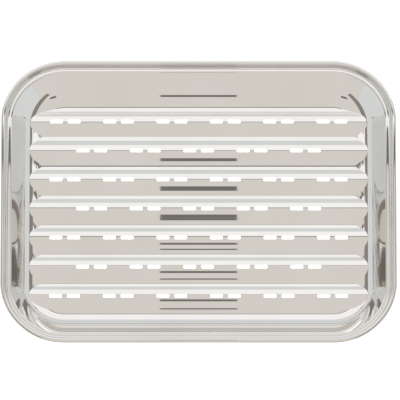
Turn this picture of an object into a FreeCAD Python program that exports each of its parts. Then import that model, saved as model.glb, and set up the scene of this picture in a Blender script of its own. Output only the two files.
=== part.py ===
import FreeCAD, Part
import math
import os
import Sketcher
from FreeCAD import Vector

# A grill tray pressed from one sheet of stainless steel. Its edge is rolled round a steel wire, and
# its floor is a row of ridges along X whose ends run out into the wide bend at the foot of the wall.
# The crests are pierced by short slots.
# Origin: centre of the underside. +X runs along the tray, +Y across it, +Z up. Sizes in millimetres.

DRIVING = [
    ("overall_length", 350.0, "over the rolled rim, along X"),
    ("overall_width", 265.0, "over the rolled rim, along Y"),
    ("overall_height", 24.5, "underside of the floor to the top of the rim"),
    ("corner_radius", 57.0, "plan radius of the outer corners"),
    ("sheet_thickness", 0.6, "the pressed sheet"),
    ("wire_diameter", 4.0, "the wire inside the rolled rim"),
    ("wire_clearance", 0.05, "between the wire and the sheet round it"),
    ("bead_rise", 5.3, "top of the rolled rim above the flange"),
    ("groove_radius", 2.5, "inside the groove between flange and rim"),
    ("curl_drop", 1.7, "cut edge of the sheet below the wire's centre"),
    ("flange_reach", 9.0, "outer edge to the start of the shoulder"),
    ("shoulder_radius", 2.2, "outside the bend from flange to wall"),
    ("wall_run", 28.1, "start of the shoulder to the flat floor, in plan"),
    ("foot_radius", 22.0, "inside the wide bend from wall to floor"),
    ("ridge_pitch", 27.25, "from one ridge to the next"),
    ("ridge_rise", 3.2, "crest above the floor"),
    ("valley_radius", 11.0, "inside the hollow bend beside each ridge"),
    ("valley_flat", 0.4, "flat floor left between two ridges"),
    ("flank_length", 2.4, "straight slope between the two bends of a ridge"),
    ("slot_length", 11.2, "along the crest"),
    ("slot_width", 3.2, "across the crest"),
    ("slot_corner_radius", 1.0, "in the corners of a slot"),
    ("slot_spacing", 15.7, "between the two slots of a pair, centre to centre"),
    ("pair_pitch", 47.15, "from one pair of slots to the next"),
]

# ridge_reach is where the foot bend stands twice as high as a crest, well past the ridges' tips.
WORKED_OUT = [
    ("half_length", "sizes.overall_length / 2"),
    ("half_width", "sizes.overall_width / 2"),
    ("curl_inner", "sizes.wire_diameter / 2 + sizes.wire_clearance"),
    ("bead_radius", "curl_inner + sizes.sheet_thickness"),
    ("bead_x", "half_length - bead_radius"),
    ("bead_z", "sizes.overall_height - bead_radius"),
    ("flange_z", "sizes.overall_height - sizes.bead_rise"),
    ("shoulder_x", "half_length - sizes.flange_reach"),
    ("foot_inset", "sizes.flange_reach + sizes.wall_run"),
    ("foot_x", "half_length - foot_inset"),
    ("foot_y", "half_width - foot_inset"),
    ("floor_corner", "sizes.corner_radius - foot_inset"),
    ("ridge_half", "(sizes.ridge_pitch - sizes.valley_flat) / 2"),
    ("bend_sum", "(ridge_half ^ 2 + sizes.ridge_rise ^ 2 - sizes.flank_length ^ 2) / (2 * sizes.ridge_rise)"),
    ("crest_radius", "bend_sum - sizes.valley_radius"),
    ("crest_z", "sizes.sheet_thickness + sizes.ridge_rise"),
    ("ridge_reach", "foot_x + sqrt(4 * sizes.ridge_rise * (sizes.foot_radius - sizes.ridge_rise))"),
    ("ridge_count", "floor((2 * foot_y + sizes.valley_flat) / sizes.ridge_pitch)"),
    ("first_ridge", "-(ridge_count - 1) / 2 * sizes.ridge_pitch"),
    ("pair_half", "(sizes.slot_spacing + sizes.slot_length) / 2"),
    ("full_row_pairs", "floor(2 * (foot_x - pair_half) / sizes.pair_pitch) + 1"),
    ("full_rows", "floor((ridge_count + 1) / 2)"),
    ("short_rows", "floor(ridge_count / 2)"),
]

START, END, CENTRE = 1, 2, 3
ORIGIN, X_AXIS, Y_AXIS = -1, -1, -2
DOWN = -math.pi / 2
UP = math.pi / 2

doc = FreeCAD.newDocument("grill_tray")


def make_sheets():
    """Two sheets: the sizes a designer sets, and the ones that follow from them."""
    sizes = doc.addObject("Spreadsheet::Sheet", "sizes")
    for row, (name, value, meaning) in enumerate(DRIVING, start=1):
        sizes.set(f"A{row}", name)
        sizes.set(f"B{row}", str(value))
        sizes.set(f"C{row}", meaning)
        sizes.setAlias(f"B{row}", name)
    doc.recompute()
    follows = doc.addObject("Spreadsheet::Sheet", "follows")
    for row, (name, formula) in enumerate(WORKED_OUT, start=1):
        follows.set(f"A{row}", name)
        follows.set(f"B{row}", f"={formula}")
        follows.setAlias(f"B{row}", name)
    doc.recompute()
    return sizes, follows


sizes, follows = make_sheets()


class Value:
    """A number to draw with, and the expression that keeps it tied to the sheets."""

    def __init__(self, number, text):
        self.number = number
        self.text = text

    def join(self, sign, other, number):
        return Value(number, f"({self.text}) {sign} ({other.text})")

    def __add__(self, other):
        return self.join("+", other, self.number + other.number)

    def __sub__(self, other):
        return self.join("-", other, self.number - other.number)

    def __neg__(self):
        return Value(-self.number, f"-({self.text})")


def size(name):
    """A driving size, or one that follows from them, by name."""
    for sheet in (sizes, follows):
        if sheet.getCellFromAlias(name):
            return Value(float(sheet.get(name)), f"{sheet.Name}.{name}")
    raise ValueError(name)


ZERO = Value(0.0, "0")


class Drawing:
    """A sketch on one of its body's own planes, with sizes tied to the sheets."""

    def __init__(self, body, name, plane, offset=None):
        self.sketch = body.newObject("Sketcher::SketchObject", name)
        planes = {o.Role: o for o in body.Origin.OriginFeatures}
        self.sketch.AttachmentSupport = [(planes[plane], "")]
        self.sketch.MapMode = "FlatFace"
        for axis, value in (offset or {}).items():
            self.sketch.setExpression(f"AttachmentOffset.Base.{axis}", value.text)

    def line(self, start, end):
        return self.sketch.addGeometry(Part.LineSegment(Vector(*start, 0), Vector(*end, 0)), False)

    def arc(self, centre, radius, first, last):
        """An arc that runs anticlockwise between two angles in radians."""
        circle = Part.Circle(Vector(*centre, 0), Vector(0, 0, 1), radius)
        return self.sketch.addGeometry(Part.ArcOfCircle(circle, first, last), False)

    def circle(self, centre, radius):
        return self.sketch.addGeometry(Part.Circle(Vector(*centre, 0), Vector(0, 0, 1), radius), False)

    def rule(self, kind, *where):
        return self.sketch.addConstraint(Sketcher.Constraint(kind, *where))

    def meet(self, *pairs):
        for pair in pairs:
            self.rule("Coincident", *pair)

    def blend(self, *pairs):
        for pair in pairs:
            self.rule("Tangent", *pair)

    def measure(self, kind, *where_and_value):
        *where, value = where_and_value
        index = self.rule(kind, *where, value.number)
        self.sketch.setExpression(f"Constraints[{index}]", value.text)

    def across(self, item, point, value):
        """The point's distance from the sketch's upright axis."""
        if value.number == 0:
            self.rule("PointOnObject", item, point, Y_AXIS)
        else:
            self.measure("DistanceX", ORIGIN, START, item, point, value)

    def up(self, item, point, value):
        """The point's distance from the sketch's level axis."""
        if value.number == 0:
            self.rule("PointOnObject", item, point, X_AXIS)
        else:
            self.measure("DistanceY", ORIGIN, START, item, point, value)

    def radius(self, item, value):
        self.measure("Radius", item, value)


def rounded_rectangle(drawing, left, right, bottom, top, corner):
    """Four sides and four corner arcs, drawn anticlockwise from the lower end of the right side."""
    r = corner.number
    x0, x1, y0, y1 = left.number, right.number, bottom.number, top.number
    quarter = math.pi / 2
    right_side = drawing.line((x1, y0 + r), (x1, y1 - r))
    upper_right = drawing.arc((x1 - r, y1 - r), r, 0, quarter)
    top_side = drawing.line((x1 - r, y1), (x0 + r, y1))
    upper_left = drawing.arc((x0 + r, y1 - r), r, quarter, 2 * quarter)
    left_side = drawing.line((x0, y1 - r), (x0, y0 + r))
    lower_left = drawing.arc((x0 + r, y0 + r), r, 2 * quarter, 3 * quarter)
    bottom_side = drawing.line((x0 + r, y0), (x1 - r, y0))
    lower_right = drawing.arc((x1 - r, y0 + r), r, 3 * quarter, 4 * quarter)
    loop = [right_side, upper_right, top_side, upper_left, left_side, lower_left, bottom_side, lower_right]
    for one, following in zip(loop, loop[1:] + loop[:1]):
        drawing.blend((one, END, following, START))
    drawing.rule("Vertical", right_side)
    drawing.rule("Horizontal", top_side)
    drawing.rule("Vertical", left_side)
    drawing.rule("Horizontal", bottom_side)
    drawing.across(right_side, START, right)
    drawing.across(left_side, START, left)
    drawing.up(top_side, START, top)
    drawing.up(bottom_side, START, bottom)
    drawing.radius(upper_right, corner)
    for other in (upper_left, lower_left, lower_right):
        drawing.rule("Equal", upper_right, other)


def outline(body, name):
    """The outer edge of the tray, seen from above."""
    drawing = Drawing(body, name, "XY_Plane")
    half_length, half_width = size("half_length"), size("half_width")
    rounded_rectangle(drawing, -half_length, half_length, -half_width, half_width, size("corner_radius"))
    return drawing.sketch


def sweep(body, kind, name, section, path):
    pipe = body.newObject(f"PartDesign::{kind}Pipe", name)
    pipe.Profile = section
    pipe.Spine = (path, [f"Edge{i + 1}" for i in range(path.GeometryCount)])
    return pipe


def cross_tangent(lower, upper, lower_radius, upper_radius):
    """Angle from upright of the line that touches the lower circle on its far side in x and the
    upper one on its near side."""
    dx = upper[0] - lower[0]
    dz = upper[1] - lower[1]
    return math.acos((lower_radius + upper_radius) / math.hypot(dx, dz)) - math.atan2(dz, dx)


def rim_face(drawing, lift):
    """One face of the sheet from the floor to the cut edge, lift below the face that is seen."""
    foot_radius, shoulder_radius = size("foot_radius") + lift, size("shoulder_radius") - lift
    groove_radius, bead_radius = size("groove_radius") + lift, size("bead_radius") - lift
    foot = (size("foot_x").number, size("sheet_thickness").number + size("foot_radius").number)
    shoulder = (size("shoulder_x").number, size("flange_z").number - size("shoulder_radius").number)
    bead = (size("bead_x").number, size("bead_z").number)
    lean = cross_tangent(foot, shoulder, foot_radius.number, shoulder_radius.number)
    groove_z = size("flange_z").number + size("groove_radius").number
    reach = size("groove_radius").number + size("bead_radius").number
    groove = (bead[0] - math.sqrt(reach ** 2 - (groove_z - bead[1]) ** 2), groove_z)
    dip = math.atan2(bead[1] - groove_z, bead[0] - groove[0])
    end = math.asin(size("curl_drop").number / bead_radius.number) - math.pi

    def on(centre, radius, angle):
        return centre[0] + radius.number * math.cos(angle), centre[1] + radius.number * math.sin(angle)

    foot_arc = drawing.arc(foot, foot_radius.number, DOWN, -lean)
    wall = drawing.line(on(foot, foot_radius, -lean), on(shoulder, shoulder_radius, math.pi - lean))
    shoulder_arc = drawing.arc(shoulder, shoulder_radius.number, UP, math.pi - lean)
    flange = drawing.line(on(shoulder, shoulder_radius, UP), on(groove, groove_radius, DOWN))
    groove_arc = drawing.arc(groove, groove_radius.number, DOWN, dip)
    bead_arc = drawing.arc(bead, bead_radius.number, end, dip + math.pi)
    drawing.radius(foot_arc, foot_radius)
    drawing.radius(shoulder_arc, shoulder_radius)
    drawing.radius(groove_arc, groove_radius)
    drawing.blend((foot_arc, END, wall, START), (wall, END, shoulder_arc, END))
    drawing.blend((shoulder_arc, START, flange, START), (flange, END, groove_arc, START))
    drawing.blend((groove_arc, END, bead_arc, END))
    return foot_arc, wall, shoulder_arc, flange, groove_arc, bead_arc


def rim_start():
    """How far from the middle of the right side its straight part ends, where the sections stand."""
    return size("half_width") - size("corner_radius")


def draw_rim_section(body):
    """The thin section of wall, shoulder, flange, groove and curl, at one end of the right side."""
    drawing = Drawing(body, "rim_section", "XZ_Plane", {"z": rim_start()})
    seen = rim_face(drawing, ZERO)
    hidden = rim_face(drawing, size("sheet_thickness"))
    foot, wall, shoulder, flange, groove, bead = seen
    drawing.across(foot, CENTRE, size("foot_x"))
    drawing.across(foot, START, size("foot_x"))
    drawing.up(foot, START, size("sheet_thickness"))
    drawing.across(shoulder, CENTRE, size("shoulder_x"))
    drawing.rule("Horizontal", flange)
    drawing.up(flange, START, size("flange_z"))
    drawing.radius(bead, size("bead_radius"))
    drawing.across(bead, CENTRE, size("bead_x"))
    drawing.up(bead, CENTRE, size("bead_z"))
    drawing.up(bead, START, size("bead_z") - size("curl_drop"))
    for one, other in zip((foot, shoulder, groove, bead), (hidden[0], hidden[2], hidden[4], hidden[5])):
        drawing.meet((one, CENTRE, other, CENTRE))
    for top, below, rule in ((foot, hidden[0], "Vertical"), (bead, hidden[5], "Horizontal")):
        first = drawing.sketch.getPoint(top, START)
        last = drawing.sketch.getPoint(below, START)
        edge = drawing.line((first.x, first.y), (last.x, last.y))
        drawing.meet((top, START, edge, START), (below, START, edge, END))
        drawing.rule(rule, edge)
    return drawing.sketch


def draw_outside_section(body):
    """All that lies outside the middle of the foot bend's sheet, up to the middle of the tray's
    height and out to its edge. It trims what runs on past the bend."""
    drawing = Drawing(body, "outside_section", "XZ_Plane", {"z": rim_start()})
    half_sheet = Value(size("sheet_thickness").number / 2, "sizes.sheet_thickness / 2")
    radius = size("foot_radius") + half_sheet
    middle = Value(size("overall_height").number / 2, "sizes.overall_height / 2")
    level, bottom = size("sheet_thickness") + size("foot_radius"), -size("sheet_thickness")
    left, right = size("foot_x"), size("half_length")
    turn = math.asin((level.number - middle.number) / radius.number)
    top_left = (left.number + radius.number * math.cos(turn), middle.number)
    arc = drawing.arc((left.number, level.number), radius.number, DOWN, -turn)
    top = drawing.line(top_left, (right.number, middle.number))
    outer = drawing.line((right.number, middle.number), (right.number, bottom.number))
    lower = drawing.line((right.number, bottom.number), (left.number, bottom.number))
    inner = drawing.line((left.number, bottom.number), (left.number, half_sheet.number))
    drawing.meet((arc, END, top, START), (top, END, outer, START), (outer, END, lower, START))
    drawing.meet((lower, END, inner, START), (inner, END, arc, START))
    drawing.rule("Horizontal", top)
    drawing.rule("Vertical", outer)
    drawing.rule("Horizontal", lower)
    drawing.rule("Vertical", inner)
    drawing.radius(arc, radius)
    drawing.across(arc, CENTRE, left)
    drawing.across(arc, START, left)
    drawing.up(arc, CENTRE, level)
    drawing.up(top, START, middle)
    drawing.across(outer, START, right)
    drawing.up(lower, START, bottom)
    return drawing.sketch


def draw_ridge_section(body, name, lift):
    """The area under one face of a ridge, lift below the face that is seen, down to a flat base."""
    drawing = Drawing(body, name, "YZ_Plane", {"x": size("first_ridge")})
    crest_radius, valley_radius = size("crest_radius") - lift, size("valley_radius") + lift
    half = size("ridge_half")
    base = -lift
    foot_z = size("sheet_thickness") - lift
    crest = (0.0, size("crest_z").number - size("crest_radius").number)
    valley_z = size("sheet_thickness").number + size("valley_radius").number
    height = valley_z - crest[1]
    slope = math.atan2(half.number, height) - math.acos(
        (crest_radius.number + valley_radius.number) / math.hypot(half.number, height))
    top = drawing.arc(crest, crest_radius.number, UP - slope, UP + slope)
    drawing.radius(top, crest_radius)
    drawing.across(top, CENTRE, ZERO)
    drawing.up(top, CENTRE, size("crest_z") - size("crest_radius"))
    sides = {}
    for side in (1, -1):
        valley = (side * half.number, valley_z)
        leave = (side * crest_radius.number * math.sin(slope),
                 crest[1] + crest_radius.number * math.cos(slope))
        arrive = (side * (half.number - valley_radius.number * math.sin(slope)),
                  valley_z - valley_radius.number * math.cos(slope))
        flank = drawing.line(leave, arrive)
        first, last = sorted((DOWN, DOWN - side * slope))
        bend = drawing.arc(valley, valley_radius.number, first, last)
        bend_top, bend_foot = (START, END) if side > 0 else (END, START)
        drawing.blend((top, bend_top, flank, START), (flank, END, bend, bend_top))
        drawing.radius(bend, valley_radius)
        drawing.across(bend, CENTRE, half if side > 0 else -half)
        drawing.across(bend, bend_foot, half if side > 0 else -half)
        drawing.up(bend, bend_foot, foot_z)
        upright = drawing.line((valley[0], foot_z.number), (valley[0], base.number))
        drawing.meet((bend, bend_foot, upright, START))
        drawing.rule("Vertical", upright)
        drawing.up(upright, END, base)
        sides[side] = upright
    bottom = drawing.line((half.number, base.number), (-half.number, base.number))
    drawing.meet((sides[1], END, bottom, START), (bottom, END, sides[-1], END))
    return drawing.sketch


def axis_of(body, role):
    return next(o for o in body.Origin.OriginFeatures if o.Role == role)


def extrude(body, kind, name, sketch, length, both_ways=False):
    """A pad, or a pocket that goes down through all below its sketch."""
    feature = body.newObject(f"PartDesign::{kind}", name)
    feature.Profile = sketch
    feature.setExpression("Length", length.text)
    feature.Midplane = both_ways
    return feature


def row(body, name, role, spacing, count, originals=None):
    """A pattern of features along one of the body's axes."""
    pattern = body.newObject("PartDesign::LinearPattern", name)
    if originals:
        pattern.Originals = originals
    pattern.Direction = (axis_of(body, role), [""])
    pattern.setExpression("Length", f"({spacing.text}) * ({count.text} - 1)")
    pattern.setExpression("Occurrences", count.text)
    return pattern


def make_floor(body):
    """The flat floor inside the foot bend."""
    drawing = Drawing(body, "floor_outline", "XY_Plane")
    x, y = size("foot_x"), size("foot_y")
    rounded_rectangle(drawing, -x, x, -y, y, size("floor_corner"))
    extrude(body, "Pad", "floor", drawing.sketch, size("sheet_thickness"))


def make_ridges(body, kind, name, lift):
    """A row of ridges, filled or cut out down to the base of their section."""
    reach = size("ridge_reach")
    section = draw_ridge_section(body, f"{name}_section", lift)
    ridge = extrude(body, kind, name, section, reach + reach, both_ways=True)
    body.Tip = row(body, f"{name}_row", "Y_Axis", size("ridge_pitch"), size("ridge_count"), [ridge])


def make_slots(body, name, first_pair, first_row, pairs, rows):
    """A field of slot pairs along the crests of every second ridge."""
    top = size("crest_z") + size("sheet_thickness")
    drawing = Drawing(body, f"{name}_outline", "XY_Plane", {"x": first_pair, "y": first_row, "z": top})
    half_long = Value(size("slot_length").number / 2, "sizes.slot_length / 2")
    half_wide = Value(size("slot_width").number / 2, "sizes.slot_width / 2")
    shift = Value(size("slot_spacing").number / 2, "sizes.slot_spacing / 2")
    for middle in (-shift, shift):
        rounded_rectangle(drawing, middle - half_long, middle + half_long, -half_wide, half_wide,
                          size("slot_corner_radius"))
    pocket = extrude(body, "Pocket", name, drawing.sketch, top)
    field = body.newObject("PartDesign::MultiTransform", f"{name}_field")
    field.Originals = [pocket]
    double_pitch = Value(2 * size("ridge_pitch").number, "2 * sizes.ridge_pitch")
    along = row(body, f"{name}_along", "X_Axis", size("pair_pitch"), pairs)
    across = row(body, f"{name}_across", "Y_Axis", double_pitch, rows)
    field.Transformations = [along, across]
    body.Tip = field


def make_pressed_tray():
    """Floor and filled ridges, trimmed by the foot bend, then the rim and wall, then the hollows
    under the ridges and the slots."""
    body = doc.addObject("PartDesign::Body", "pressed_tray")
    body.Label = "pressed_tray"
    path = outline(body, "tray_outline")
    make_floor(body)
    make_ridges(body, "Pad", "ridge_fill", ZERO)
    sweep(body, "Subtractive", "outside", draw_outside_section(body), path)
    sweep(body, "Additive", "rim_and_wall", draw_rim_section(body), path)
    make_ridges(body, "Pocket", "ridge_hollow", size("sheet_thickness"))
    pairs = size("full_row_pairs")
    fewer = Value(pairs.number - 1, f"{pairs.text} - 1")
    first = Value(-(pairs.number - 1) / 2 * size("pair_pitch").number,
                  f"-({pairs.text} - 1) / 2 * sizes.pair_pitch")
    half_pitch = Value(size("pair_pitch").number / 2, "sizes.pair_pitch / 2")
    make_slots(body, "full_row", first, size("first_ridge"), pairs, size("full_rows"))
    make_slots(body, "short_row", first + half_pitch, size("first_ridge") + size("ridge_pitch"),
               fewer, size("short_rows"))
    return body


def make_rim_wire():
    """The wire that the sheet's edge is rolled round."""
    body = doc.addObject("PartDesign::Body", "rim_wire")
    body.Label = "rim_wire"
    drawing = Drawing(body, "wire_section", "XZ_Plane", {"z": rim_start()})
    radius = Value(size("wire_diameter").number / 2, "sizes.wire_diameter / 2")
    wire = drawing.circle((size("bead_x").number, size("bead_z").number), radius.number)
    drawing.radius(wire, radius)
    drawing.across(wire, CENTRE, size("bead_x"))
    drawing.up(wire, CENTRE, size("bead_z"))
    sweep(body, "Additive", "wire", drawing.sketch, outline(body, "wire_outline"))
    return body


def check(bodies):
    """Stops on any feature that failed and on any sub-part that isn't one sound solid."""
    for thing in doc.Objects:
        if "Invalid" in thing.State or "Error" in thing.State:
            raise RuntimeError(f"{thing.Name} failed: {thing.State} {thing.getStatusString()}")
    for body in bodies:
        shape = body.Shape
        if shape.isNull() or not shape.isValid() or len(shape.Solids) != 1:
            raise RuntimeError(f"{body.Label} is not one sound solid")


def main():
    bodies = [make_pressed_tray(), make_rim_wire()]
    doc.recompute()
    check(bodies)
    os.makedirs("parts", exist_ok=True)
    for body in bodies:
        body.Shape.exportStep(f"parts/{body.Label}.step")
        print(body.Label, round(body.Shape.Volume, 1), body.Shape.BoundBox)


main()
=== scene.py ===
import math

import bmesh
import bpy
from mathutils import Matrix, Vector


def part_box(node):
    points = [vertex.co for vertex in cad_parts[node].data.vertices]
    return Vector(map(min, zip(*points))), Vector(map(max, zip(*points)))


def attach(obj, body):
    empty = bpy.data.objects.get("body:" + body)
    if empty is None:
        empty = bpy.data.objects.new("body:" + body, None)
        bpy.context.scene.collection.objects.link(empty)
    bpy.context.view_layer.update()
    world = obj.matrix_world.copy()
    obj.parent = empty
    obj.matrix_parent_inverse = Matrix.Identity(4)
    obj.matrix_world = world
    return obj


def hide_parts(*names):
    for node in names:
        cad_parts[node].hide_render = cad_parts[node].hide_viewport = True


# A stainless grill tray: one polished sheet with a rolled rim, a sloped wall and slotted ridges.
# Metres throughout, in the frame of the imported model: +X along the ridges, +Z up, the floor's
# underside at zero.

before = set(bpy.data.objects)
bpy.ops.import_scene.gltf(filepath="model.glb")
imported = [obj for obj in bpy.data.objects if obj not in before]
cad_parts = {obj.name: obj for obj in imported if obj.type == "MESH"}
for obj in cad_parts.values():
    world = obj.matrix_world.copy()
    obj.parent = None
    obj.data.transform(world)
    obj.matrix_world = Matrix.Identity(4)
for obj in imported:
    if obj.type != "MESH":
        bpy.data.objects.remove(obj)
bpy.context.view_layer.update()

MM = 0.001

# ---------------------------------------------------------------- sizes of the tray

TRAY_LOW, TRAY_HIGH = (Vector(corner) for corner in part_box("pressed_tray"))
HALF_LENGTH = TRAY_HIGH.x
HALF_WIDTH = TRAY_HIGH.y
HEIGHT = TRAY_HIGH.z
CORNER_RADIUS = 57 * MM
SHEET = 0.6 * MM
BEAD_RADIUS = 2.65 * MM
BEAD_RISE = 5.3 * MM
GROOVE_RADIUS = 2.5 * MM
CURL_DROP = 1.7 * MM
FLANGE_REACH = 9.0 * MM
SHOULDER_RADIUS = 2.2 * MM
WALL_RUN = 28.1 * MM
FOOT_RADIUS = 22.0 * MM
RIDGE_PITCH = 27.25 * MM
RIDGE_COUNT = 7
RIDGE_RISE = 3.2 * MM
VALLEY_RADIUS = 11.0 * MM
VALLEY_FLAT = 0.4 * MM
FLANK_LENGTH = 2.4 * MM
SLOT_LENGTH = 11.2 * MM
SLOT_WIDTH = 3.2 * MM
SLOT_CORNER = 1.0 * MM
SLOT_SPACING = 15.7 * MM
PAIR_PITCH = 47.15 * MM
FULL_ROW_PAIRS = 6

CORNER_X = HALF_LENGTH - CORNER_RADIUS
CORNER_Y = HALF_WIDTH - CORNER_RADIUS
FOOT_X = HALF_LENGTH - FLANGE_REACH - WALL_RUN
FLANGE_Z = HEIGHT - BEAD_RISE
RIDGE_HALF = (RIDGE_PITCH - VALLEY_FLAT) / 2
BEND_SUM = (RIDGE_HALF ** 2 + RIDGE_RISE ** 2 - FLANK_LENGTH ** 2) / (2 * RIDGE_RISE)
CREST_RADIUS = BEND_SUM - VALLEY_RADIUS
CREST_Z = SHEET + RIDGE_RISE
RIDGE_REACH = FOOT_X + math.sqrt(4 * RIDGE_RISE * (FOOT_RADIUS - RIDGE_RISE))
FOOT = (FOOT_X, SHEET + FOOT_RADIUS)
SHOULDER = (HALF_LENGTH - FLANGE_REACH, FLANGE_Z - SHOULDER_RADIUS)
BEAD = (HALF_LENGTH - BEAD_RADIUS, HEIGHT - BEAD_RADIUS)
HALF_TURN = math.pi
QUARTER_TURN = math.pi / 2
SLOT_BEND = SLOT_CORNER * (1 - math.sqrt(0.5))

# How finely each bend is divided.
CORNER_STEPS = 40
FOOT_STEPS = 30
SHOULDER_STEPS = 12
GROOVE_STEPS = 10
BEAD_STEPS = 32
CREST_STEPS = 8
VALLEY_STEPS = 12
RUN_OUT_STEPS = 14
SMOOTH_ANGLE = math.radians(40)

# A ridge's solid reaches BLOCK_DEPTH below the floor, and stands SINK low so that its feet don't
# lie in the floor's own plane. Points closer than TINY count as one place.
BLOCK_DEPTH = 8 * MM
SINK = 0.004 * MM
TINY = 0.01 * MM


# ---------------------------------------------------------------- small modelling helpers

def deselect():
    for thing in bpy.context.selected_objects:
        thing.select_set(False)


def pick(*things):
    deselect()
    for thing in things:
        thing.select_set(True)
    bpy.context.view_layer.objects.active = things[0]


def edit(thing, mode="VERT"):
    pick(thing)
    bpy.ops.object.mode_set(mode="EDIT")
    bpy.ops.mesh.select_mode(type=mode)
    bpy.ops.mesh.select_all(action="DESELECT")
    return bmesh.from_edit_mesh(thing.data)


def finish_edit():
    bpy.ops.object.mode_set(mode="OBJECT")


def select_where(mesh, items, test):
    for item in items:
        item.select_set(test(item))
    mesh.select_flush_mode()


def apply(thing, kind, **settings):
    pick(thing)
    modifier = thing.modifiers.new(kind.title(), kind)
    for name, value in settings.items():
        setattr(modifier, name, value)
    bpy.ops.object.modifier_apply(modifier=modifier.name)


def at_origin(thing):
    pick(thing)
    bpy.ops.object.transform_apply(location=True, rotation=True, scale=True)


def chain(name, points):
    """A line of vertices through the points, drawn by extruding one vertex from the last."""
    bpy.ops.mesh.primitive_plane_add(size=MM)
    thing = bpy.context.object
    thing.name = name
    bpy.ops.object.mode_set(mode="EDIT")
    bpy.ops.mesh.select_mode(type="VERT")
    bpy.ops.mesh.merge(type="CENTER")
    here = Vector(points[0])
    bpy.ops.transform.translate(value=here)
    for point in points[1:]:
        there = Vector(point)
        bpy.ops.mesh.extrude_vertices_move(TRANSFORM_OT_translate={"value": there - here})
        here = there
    finish_edit()
    at_origin(thing)
    return thing


def arc_points(centre, radius, first, last, steps):
    """Points in an upright plane, as (across, height), from one angle to another."""
    turns = [first + (last - first) * i / steps for i in range(steps + 1)]
    return [(centre[0] + radius * math.cos(turn), centre[1] + radius * math.sin(turn)) for turn in turns]


# ---------------------------------------------------------------- foot bend, wall and rim

def wall_lean():
    """Angle of the wall from upright, where it touches both the foot bend and the shoulder bend."""
    dx, dz = SHOULDER[0] - FOOT[0], SHOULDER[1] - FOOT[1]
    return math.acos((FOOT_RADIUS + SHOULDER_RADIUS) / math.hypot(dx, dz)) - math.atan2(dz, dx)


def foot_profile():
    """The seen face of the foot bend, from the flat floor up to the wall."""
    return arc_points(FOOT, FOOT_RADIUS, -QUARTER_TURN, -wall_lean(), FOOT_STEPS)


def rim_profile():
    """The seen face from the top of the foot bend to the cut edge under the rolled rim."""
    groove_z = FLANGE_Z + GROOVE_RADIUS
    reach = GROOVE_RADIUS + BEAD_RADIUS
    groove = (BEAD[0] - math.sqrt(reach ** 2 - (groove_z - BEAD[1]) ** 2), groove_z)
    dip = math.atan2(BEAD[1] - groove_z, BEAD[0] - groove[0])
    cut = math.asin(CURL_DROP / BEAD_RADIUS) - HALF_TURN
    points = [foot_profile()[-1]]
    points += arc_points(SHOULDER, SHOULDER_RADIUS, HALF_TURN - wall_lean(), QUARTER_TURN, SHOULDER_STEPS)
    points += arc_points(groove, GROOVE_RADIUS, -QUARTER_TURN, dip, GROOVE_STEPS)
    points += arc_points(BEAD, BEAD_RADIUS, dip + HALF_TURN, cut, BEAD_STEPS)[1:]
    return points


def sweep_round(name, profile):
    """Takes a profile all round the tray: half a side, a spun corner, half a side, then mirrored."""
    thing = chain(name, [(x, 0, z) for x, z in profile])
    mesh = edit(thing)
    select_where(mesh, mesh.verts, lambda v: True)
    bpy.ops.mesh.extrude_edges_move(TRANSFORM_OT_translate={"value": (0, CORNER_Y, 0)})
    bpy.ops.mesh.spin(steps=CORNER_STEPS, angle=QUARTER_TURN, center=(CORNER_X, CORNER_Y, 0), axis=(0, 0, -1))
    bpy.ops.mesh.extrude_edges_move(TRANSFORM_OT_translate={"value": (-CORNER_X, 0, 0)})
    finish_edit()
    apply(thing, "MIRROR", use_axis=(True, True, False), use_mirror_merge=True, merge_threshold=TINY)
    return thing


def make_well():
    """The foot bend and the flat floor, as the hollow top of a solid block."""
    top = foot_profile()[-1]
    outside = [(HALF_LENGTH, top[1]), (HALF_LENGTH, -FOOT_RADIUS)]
    well = sweep_round("well", foot_profile() + outside)
    mesh = edit(well, "EDGE")
    for level in (SHEET, -FOOT_RADIUS):
        select_where(mesh, mesh.edges,
                     lambda e: e.is_boundary and all(abs(v.co.z - level) < TINY for v in e.verts))
        bpy.ops.mesh.edge_face_add()
        mesh = bmesh.from_edit_mesh(well.data)
    bpy.ops.mesh.select_all(action="SELECT")
    bpy.ops.mesh.normals_make_consistent(inside=False)
    finish_edit()
    return well


# ---------------------------------------------------------------- ridges

def half_section():
    """(distance from the crest, height) from the crest line down to the flat floor."""
    crest = (0, CREST_Z - CREST_RADIUS)
    valley = (RIDGE_HALF, SHEET + VALLEY_RADIUS)
    rise = valley[1] - crest[1]
    slope = math.atan2(RIDGE_HALF, rise) - math.acos(BEND_SUM / math.hypot(RIDGE_HALF, rise))
    side = SLOT_WIDTH / 2
    slot_steps = [0, side - SLOT_CORNER, side - SLOT_BEND, side]
    turns = [math.asin(step / CREST_RADIUS) for step in slot_steps]
    turns += [turns[-1] + (slope - turns[-1]) * i / CREST_STEPS for i in range(1, CREST_STEPS + 1)]
    points = [(CREST_RADIUS * math.sin(t), crest[1] + CREST_RADIUS * math.cos(t)) for t in turns]
    bends = [slope * (1 - i / VALLEY_STEPS) for i in range(VALLEY_STEPS + 1)]
    foot = [(valley[0] - VALLEY_RADIUS * math.sin(t), valley[1] - VALLEY_RADIUS * math.cos(t)) for t in bends]
    middle = ((points[-1][0] + foot[0][0]) / 2, (points[-1][1] + foot[0][1]) / 2)
    return points + [middle] + foot


def slot_middles(pairs):
    """The x of each slot's middle in a row with that many pairs."""
    firsts = [(i - (pairs - 1) / 2) * PAIR_PITCH for i in range(pairs)]
    return [x + shift for x in firsts for shift in (-SLOT_SPACING / 2, SLOT_SPACING / 2)]


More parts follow.
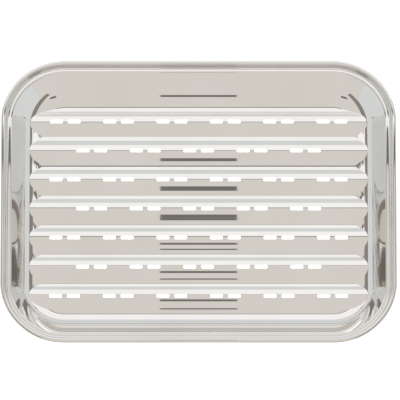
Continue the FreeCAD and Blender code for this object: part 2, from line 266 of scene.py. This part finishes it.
def slot_stations(pairs):
    """The x of every cross line of a ridge: its ends, close steps where it runs out into the foot
    bend, and each slot's ends and corner bends."""
    half = SLOT_LENGTH / 2
    steps = [half, half - SLOT_BEND, half - SLOT_CORNER]
    run_out = [FOOT_X - 2 * MM + i * MM for i in range(RUN_OUT_STEPS)]
    stations = [sign * x for x in run_out + [RIDGE_REACH] for sign in (-1, 1)]
    for middle in slot_middles(pairs):
        stations += [middle + sign * step for sign in (-1, 1) for step in steps]
    return sorted(stations)


def near_slot(point, pairs, row_y):
    """How far a point lies from the middle of the nearest slot, along and across."""
    middle = min(slot_middles(pairs), key=lambda x: abs(x - point.x))
    return abs(point.x - middle), abs(point.y - row_y), middle


def divide_corners(ridge, pairs):
    """Splits the small faces that a slot's rounded corner crosses."""
    half, side = SLOT_LENGTH / 2, SLOT_WIDTH / 2
    mesh = edit(ridge, "FACE")
    corners = []
    for face in mesh.faces:
        centre = face.calc_center_median()
        if centre.z < SHEET:
            continue
        x, y, middle = near_slot(centre, pairs, 0)
        end_cell = half - SLOT_BEND < x < half and side - SLOT_CORNER < y < side - SLOT_BEND
        side_cell = half - SLOT_CORNER < x < half - SLOT_BEND and side - SLOT_BEND < y < side
        if end_cell or side_cell:
            corners.append((face, middle))
    for face, middle in corners:
        ranked = sorted(face.verts, key=lambda v: abs(v.co.x - middle) + abs(v.co.y))
        bmesh.ops.connect_verts(mesh, verts=[v for v in face.verts if v not in (ranked[0], ranked[-1])])
    bmesh.update_edit_mesh(ridge.data)
    finish_edit()


def make_ridge(name, pairs):
    """One solid ridge, centred on the tray and long enough to run into the foot bend."""
    section = half_section()
    stations = slot_stations(pairs)
    across = [(-y, z) for y, z in reversed(section[1:])] + section
    across = [(-RIDGE_HALF, -BLOCK_DEPTH)] + across + [(RIDGE_HALF, -BLOCK_DEPTH)]
    ridge = chain(name, [(stations[0], y, z) for y, z in across])
    edit(ridge)
    bpy.ops.mesh.select_all(action="SELECT")
    bpy.ops.mesh.edge_face_add()
    for here, there in zip(stations, stations[1:]):
        bpy.ops.mesh.extrude_region_move(TRANSFORM_OT_translate={"value": (there - here, 0, 0)})
    bpy.ops.mesh.select_all(action="SELECT")
    bpy.ops.mesh.normals_make_consistent(inside=False)
    finish_edit()
    divide_corners(ridge, pairs)
    return ridge


def row_pairs(i):
    return FULL_ROW_PAIRS - i % 2


def row_middle(i):
    return (i - (RIDGE_COUNT - 1) / 2) * RIDGE_PITCH


def make_ridges():
    """The row of ridges: every second one has a full row of slot pairs, the others one pair fewer."""
    patterns = [make_ridge("full_ridge", row_pairs(0)), make_ridge("short_ridge", row_pairs(1))]
    ridges = []
    for i in range(RIDGE_COUNT):
        copy = patterns[i % 2].copy()
        copy.data = patterns[i % 2].data.copy()
        bpy.context.collection.objects.link(copy)
        copy.location = (0, row_middle(i), -SINK)
        at_origin(copy)
        ridges.append(copy)
    for pattern in patterns:
        bpy.data.objects.remove(pattern)
    pick(*ridges)
    bpy.ops.object.join()
    return ridges[0]


# ---------------------------------------------------------------- the pressed sheet

def in_slot(face):
    """Whether a face of the seen surface lies inside one of the slots."""
    centre = face.calc_center_median()
    i = min(range(RIDGE_COUNT), key=lambda n: abs(row_middle(n) - centre.y))
    half, side = SLOT_LENGTH / 2, SLOT_WIDTH / 2
    x, y, _ = near_slot(centre, row_pairs(i), row_middle(i))
    if x > half or y > side:
        return False
    in_x, in_y = half - x, side - y
    if in_x > SLOT_CORNER or in_y > SLOT_CORNER:
        return True
    return math.hypot(SLOT_CORNER - in_x, SLOT_CORNER - in_y) < SLOT_CORNER


def make_tray():
    """Ridges joined to the well, the seen surface kept, slots cut, the rim added, then thickness."""
    well = make_well()
    ridges = make_ridges()
    apply(well, "BOOLEAN", object=ridges, operation="UNION", solver="EXACT", use_self=False)
    bpy.data.objects.remove(ridges)
    tray = well
    tray.name = "polished_tray"
    mesh = edit(tray, "FACE")
    ledge = foot_profile()[-1][1]

    def unseen(face):
        lowest = min(v.co.z for v in face.verts)
        if lowest < SHEET - 2 * SINK or lowest > ledge - TINY:
            return True
        return in_slot(face)

    select_where(mesh, mesh.faces, unseen)
    bpy.ops.mesh.delete(type="FACE")
    finish_edit()
    rim = sweep_round("rim", rim_profile())
    pick(tray, rim)
    bpy.ops.object.join()
    edit(tray)
    bpy.ops.mesh.select_all(action="SELECT")
    bpy.ops.mesh.remove_doubles(threshold=2 * TINY)
    bpy.ops.mesh.normals_make_consistent(inside=False)
    mesh = bmesh.from_edit_mesh(tray.data)
    crest_face = min(mesh.faces, key=lambda f: (f.calc_center_median() - Vector((0, 0, CREST_Z))).length)
    if crest_face.normal.z < 0:
        bpy.ops.mesh.flip_normals()
    finish_edit()
    apply(tray, "SOLIDIFY", thickness=SHEET, offset=-1.0, use_even_offset=True)
    pick(tray)
    bpy.ops.object.shade_smooth_by_angle(angle=SMOOTH_ANGLE)
    apply(tray, "WEIGHTED_NORMAL", keep_sharp=True, weight=50)
    return tray


# ---------------------------------------------------------------- materials

class Shade:
    """A shader socket that can be used in sums."""

    def __init__(self, tree, socket):
        self.tree = tree
        self.socket = socket

    def math(self, kind, *values):
        return node(self.tree, "ShaderNodeMath", {"operation": kind}, dict(enumerate(values)))

    def __add__(self, other):
        return self.math("ADD", self, other)

    __radd__ = __add__

    def __mul__(self, other):
        return self.math("MULTIPLY", self, other)

    __rmul__ = __mul__


def node(tree, kind, settings=None, inputs=None, output=0):
    """Adds a node with its settings, then the values or links of its sockets."""
    made = tree.nodes.new(kind)
    for name, value in (settings or {}).items():
        if name == "stops":
            ramp = made.color_ramp
            while len(ramp.elements) < len(value):
                ramp.elements.new(0.5)
            for element, (place, colour) in zip(ramp.elements, value):
                element.position = place
                element.color = (*colour, 1)
        else:
            setattr(made, name, value)
    for name, value in (inputs or {}).items():
        if isinstance(value, Shade):
            tree.links.new(value.socket, made.inputs[name])
        else:
            made.inputs[name].default_value = value
    return Shade(tree, made.outputs[output]) if made.outputs else made


def new_material(name):
    material = bpy.data.materials.new(name)
    material.use_nodes = True
    tree = material.node_tree
    return material, tree, tree.nodes["Principled BSDF"]


def set_shader(tree, shader, **values):
    for name, value in values.items():
        socket = shader.inputs[name.replace("_", " ")]
        if isinstance(value, Shade):
            tree.links.new(value.socket, socket)
        else:
            socket.default_value = value


def polished_steel():
    """Mirror-polished stainless sheet: a warm silver with faint rolling grain and wiping haze."""
    material, tree, shader = new_material("polished_steel")
    place = node(tree, "ShaderNodeTexCoord", output="Object")
    grain_place = node(tree, "ShaderNodeMapping", inputs={"Vector": place, "Scale": (12, 420, 420)})
    grain = node(tree, "ShaderNodeTexNoise", inputs={"Vector": grain_place, "Scale": 1.0, "Detail": 3.0})
    haze = node(tree, "ShaderNodeTexNoise",
                inputs={"Vector": place, "Scale": 14.0, "Detail": 4.0, "Roughness": 0.6})
    spots = node(tree, "ShaderNodeTexNoise", inputs={"Vector": place, "Scale": 160.0, "Detail": 2.0})
    tones = [(0.3, (0.775, 0.762, 0.742)), (0.7, (0.815, 0.806, 0.79))]
    colour = node(tree, "ShaderNodeValToRGB", {"stops": tones}, {"Fac": haze})
    roughness = 0.012 + 0.02 * haze + 0.012 * grain + 0.008 * spots
    bump = node(tree, "ShaderNodeBump", inputs={"Height": grain * 0.7 + spots * 0.3, "Strength": 0.02,
                                                "Distance": 0.02 * MM})
    set_shader(tree, shader, Base_Color=colour, Metallic=1.0, Roughness=roughness, Normal=bump)
    return material


def drawn_wire():
    """Plain drawn steel wire with lengthwise die lines."""
    material, tree, shader = new_material("drawn_wire")
    place = node(tree, "ShaderNodeTexCoord", output="Object")
    lines = node(tree, "ShaderNodeTexNoise", inputs={"Vector": place, "Scale": 900.0, "Detail": 2.0})
    blotches = node(tree, "ShaderNodeTexNoise", inputs={"Vector": place, "Scale": 30.0, "Detail": 3.0})
    tones = [(0.3, (0.44, 0.43, 0.41)), (0.7, (0.58, 0.57, 0.55))]
    colour = node(tree, "ShaderNodeValToRGB", {"stops": tones}, {"Fac": blotches})
    bump = node(tree, "ShaderNodeBump", inputs={"Height": lines, "Strength": 0.15, "Distance": 0.05 * MM})
    set_shader(tree, shader, Base_Color=colour, Metallic=1.0, Roughness=0.28 + 0.15 * lines, Normal=bump)
    return material


# ---------------------------------------------------------------- studio

def glow(name, colour, strength):
    material = bpy.data.materials.new(name)
    material.use_nodes = True
    tree = material.node_tree
    tree.nodes.clear()
    light = node(tree, "ShaderNodeEmission", inputs={"Color": (*colour, 1), "Strength": strength})
    node(tree, "ShaderNodeOutputMaterial", inputs={"Surface": light})
    return material


def card(name, corners, material):
    """A flat studio card through four corners, seen only in reflections."""
    mesh = bpy.data.meshes.new(name)
    mesh.from_pydata(corners, [], [(0, 1, 2, 3)])
    thing = bpy.data.objects.new(name, mesh)
    bpy.context.collection.objects.link(thing)
    thing.data.materials.append(material)
    thing.visible_camera = False
    thing.visible_shadow = False


def across_card(name, first, last, half_x, material):
    """A card that spans from one (y, z) edge to another, and half_x to each side."""
    (y0, z0), (y1, z1) = first, last
    card(name, [(-half_x, y0, z0), (half_x, y0, z0), (half_x, y1, z1), (-half_x, y1, z1)], material)


def make_studio():
    """A grey overhead sheet with a dark edge, a bright sheet behind it, a grey front sheet over a
    brown room, a dark strip between those two, brown strips at the sides and the small dark shape
    of the camera. The sheets follow one line of (y, z) edges from back to front."""
    grey = glow("overhead_grey", (1.0, 0.965, 0.91), 0.80)
    bright = glow("back_white", (1.0, 0.99, 0.985), 1.12)
    dark = glow("frame_dark", (1.0, 0.95, 0.88), 0.20)
    room = glow("room_brown", (1.0, 0.90, 0.80), 0.30)
    black = glow("frame_black", (1.0, 0.95, 0.88), 0.08)
    back_foot, back_top, sheet_back = (0.620, 0.400), (0.300, 0.636), (0.262, 0.635)
    sheet_front, strip_top = (-0.700, 0.720), (-1.000, 0.330)
    strip_foot, room_foot = (-1.050, 0.200), (-1.100, 0.0)
    across_card("overhead", sheet_back, sheet_front, 0.42, grey)
    across_card("overhead_edge", back_top, sheet_back, 0.60, dark)
    across_card("back_light", back_foot, back_top, 0.60, bright)
    across_card("front_sheet", sheet_front, strip_top, 1.2, grey)
    across_card("front_frame", strip_top, strip_foot, 1.2, black)
    across_card("front_room", strip_foot, room_foot, 1.2, room)
    across_card("camera_shape", (-0.149, 0.290), (-0.089, 0.309), 0.035, dark)
    for side in (-1, 1):
        inner, outer = side * 0.42, side * 0.62
        card("side_strip", [(inner, -0.9, 0.62), (inner, 0.9, 0.62), (outer, 0.9, 0.45), (outer, -0.9, 0.45)],
             room)
    world = bpy.data.worlds.new("studio")
    world.use_nodes = True
    background = world.node_tree.nodes["Background"]
    background.inputs["Color"].default_value = (0.84, 0.865, 0.87, 1)
    background.inputs["Strength"].default_value = 0.95
    bpy.context.scene.world = world


def make_table():
    """A pale table that glows a little, just under the tray."""
    bpy.ops.mesh.primitive_plane_add(size=6.0, location=(0, 0, -0.05 * MM))
    table = bpy.context.object
    table.name = "pale_table"
    material, tree, shader = new_material("pale_table")
    place = node(tree, "ShaderNodeTexCoord", output="Object")
    paper = node(tree, "ShaderNodeTexNoise", inputs={"Vector": place, "Scale": 400.0, "Detail": 2.0})
    tones = [(0.3, (0.80, 0.80, 0.80)), (0.7, (0.84, 0.84, 0.84))]
    colour = node(tree, "ShaderNodeValToRGB", {"stops": tones}, {"Fac": paper})
    set_shader(tree, shader, Base_Color=colour, Roughness=0.9,
               Emission_Color=(1, 1, 1, 1), Emission_Strength=0.95)
    table.data.materials.append(material)


def make_camera():
    """A long lens, tilted a little from straight above towards the near side."""
    tilt = math.radians(20)
    distance = 10.0
    middle = Vector((0, 0, HEIGHT))
    data = bpy.data.cameras.new("view")
    data.sensor_width = 36
    data.lens = 1023.0
    data.clip_end = 100
    data.shift_x = 0.0035
    data.shift_y = 0.001
    camera = bpy.data.objects.new("view", data)
    bpy.context.collection.objects.link(camera)
    camera.location = middle + distance * Vector((0, -math.sin(tilt), math.cos(tilt)))
    camera.rotation_euler = (tilt, 0, 0)
    bpy.context.scene.camera = camera
    bpy.context.scene.view_settings.view_transform = "Standard"


# ---------------------------------------------------------------- putting it together

tray = make_tray()
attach(tray, "root")
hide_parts("pressed_tray")
tray.data.materials.clear()
tray.data.materials.append(polished_steel())
wire = bpy.data.objects["rim_wire"]
wire.data.materials.clear()
wire.data.materials.append(drawn_wire())
make_studio()
make_table()
make_camera()
